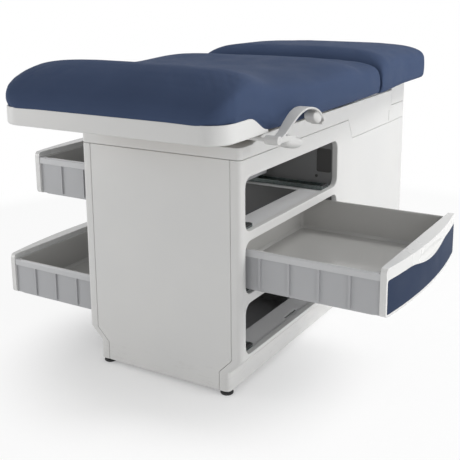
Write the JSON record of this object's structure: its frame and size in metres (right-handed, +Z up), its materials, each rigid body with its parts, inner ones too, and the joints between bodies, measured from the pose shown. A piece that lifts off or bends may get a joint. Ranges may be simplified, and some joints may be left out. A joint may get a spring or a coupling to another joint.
{
  "type": "examination table with drawers",
  "caption": "Padded clinic examination table on a box cabinet with pull-out side drawers, a tilting back section with release lever, a sliding leg rest and a pull-out step.",
  "frame": {"origin": "middle of the footprint, drawers as pictured, on the floor", "axes": "+X to the side with the release lever, +Y towards the foot end, +Z up"},
  "size_m": [1.2618, 1.49, 0.882],
  "materials": {
    "white_moulding": "satin off-white moulding",
    "grey_moulding": "satin grey moulding",
    "blue_insert": "satin slate blue",
    "grey_sheet": "satin pale grey",
    "dark_sheet": "matt dark grey",
    "painted_board": "grey paint",
    "plywood": "bare board",
    "black_rubber": "matt black",
    "blue_vinyl": "vinyl-coated upholstery over foam, slate blue",
    "zinc_steel": "zinc plated",
    "black_paint": "gloss black paint"
  },
  "bodies": {
    "base": {"base_floor": "painted_board", "bottom_drawer_deck": "grey_sheet", "bottom_slide_channel_foot": "zinc_steel", "bottom_slide_channel_head": "zinc_steel", "foot_bulkhead": "dark_sheet", "foot_end_panel": "white_moulding", "head_end_panel": "white_moulding", "hinge_ear_fixed_left": "zinc_steel", "hinge_ear_fixed_right": "zinc_steel", "left_side_panel": "white_moulding", "leg_rest_rail_left": "zinc_steel", "leg_rest_rail_right": "zinc_steel", "levelling_foot_foot_left": "black_rubber", "levelling_foot_foot_right": "black_rubber", "levelling_foot_head_left": "black_rubber", "levelling_foot_head_right": "black_rubber", "middle_drawer_deck": "grey_sheet", "middle_slide_channel_foot": "zinc_steel", "middle_slide_channel_head": "zinc_steel", "right_side_panel": "white_moulding", "seat_board": "plywood", "seat_cushion": "blue_vinyl", "spring_anchor": "zinc_steel", "top_deck": "painted_board", "top_drawer_deck": "grey_sheet", "top_skirt": "white_moulding", "top_slide_channel_foot": "zinc_steel", "top_slide_channel_head": "zinc_steel"},
    "back": {"back_board": "plywood", "head_pan": "white_moulding", "back_cushion": "blue_vinyl", "hinge_ear_moving_left": "zinc_steel", "hinge_ear_moving_right": "zinc_steel", "spring_bracket": "zinc_steel", "lever_bracket": "zinc_steel"},
    "lever": {"release_lever": "white_moulding"},
    "spring_cylinder": {"gas_spring_cylinder": "black_paint"},
    "spring_rod": {"gas_spring_rod": "zinc_steel"},
    "leg_rest": {"leg_rest_pan": "dark_sheet", "leg_rest_pad": "blue_vinyl", "leg_rest_cap": "white_moulding"},
    "step": {"step_box": "white_moulding", "step_tread": "black_rubber"},
    "drawer_bottom": {"bottom_drawer_tub": "grey_moulding", "bottom_drawer_front": "white_moulding", "bottom_drawer_insert": "blue_insert", "bottom_drawer_runner_head": "zinc_steel", "bottom_drawer_runner_foot": "zinc_steel"},
    "drawer_middle": {"middle_drawer_tub": "grey_moulding", "middle_drawer_front": "white_moulding", "middle_drawer_insert": "blue_insert", "middle_drawer_runner_head": "zinc_steel", "middle_drawer_runner_foot": "zinc_steel"},
    "drawer_top": {"top_drawer_tub": "grey_moulding", "top_drawer_front": "white_moulding", "top_drawer_insert": "blue_insert", "top_drawer_runner_head": "zinc_steel", "top_drawer_runner_foot": "zinc_steel"}
  },
  "joints": [
    {"name": "backrest_tilt", "type": "hinge", "parent": "base", "child": "back", "pos_m": [-0.01575, 0.1475, 0.79], "axis": [-1, 0, 0], "range_deg": [0, 70]},
    {"name": "release_lever_lift", "type": "hinge", "parent": "back", "child": "lever", "pos_m": [0.33825, -0.553, 0.7125], "axis": [1, 0, 0], "range_deg": [0, 12]},
    {"name": "spring_swing", "type": "hinge", "parent": "base", "child": "spring_cylinder", "pos_m": [-0.01575, 0.0775, 0.65], "axis": [-1, 0, 0], "range_deg": [0, 66.5]},
    {"name": "spring_rod_slide", "type": "slide", "parent": "spring_cylinder", "child": "spring_rod", "axis": [0, -0.9971, 0.0765], "range_m": [0, 0.177]},
    {"name": "drawer_bottom_slide", "type": "slide", "parent": "base", "child": "drawer_bottom", "axis": [-1, 0, 0], "range_m": [-0.341, 0.059]},
    {"name": "drawer_middle_slide", "type": "slide", "parent": "base", "child": "drawer_middle", "axis": [1, 0, 0], "range_m": [-0.3725, 0.0275]},
    {"name": "drawer_top_slide", "type": "slide", "parent": "base", "child": "drawer_top", "axis": [-1, 0, 0], "range_m": [-0.213, 0.187]},
    {"name": "leg_rest_slide", "type": "slide", "parent": "base", "child": "leg_rest", "axis": [0, 1, 0], "range_m": [0, 0.33]},
    {"name": "step_slide", "type": "slide", "parent": "base", "child": "step", "axis": [0, 1, 0], "range_m": [0, 0.28]}
  ],
  "couplings": [
    {"joint": "spring_swing", "follows": "backrest_tilt", "ratio": 0.9463},
    {"joint": "spring_rod_slide", "follows": "backrest_tilt", "m_per_rad": 0.1444}
  ]
}
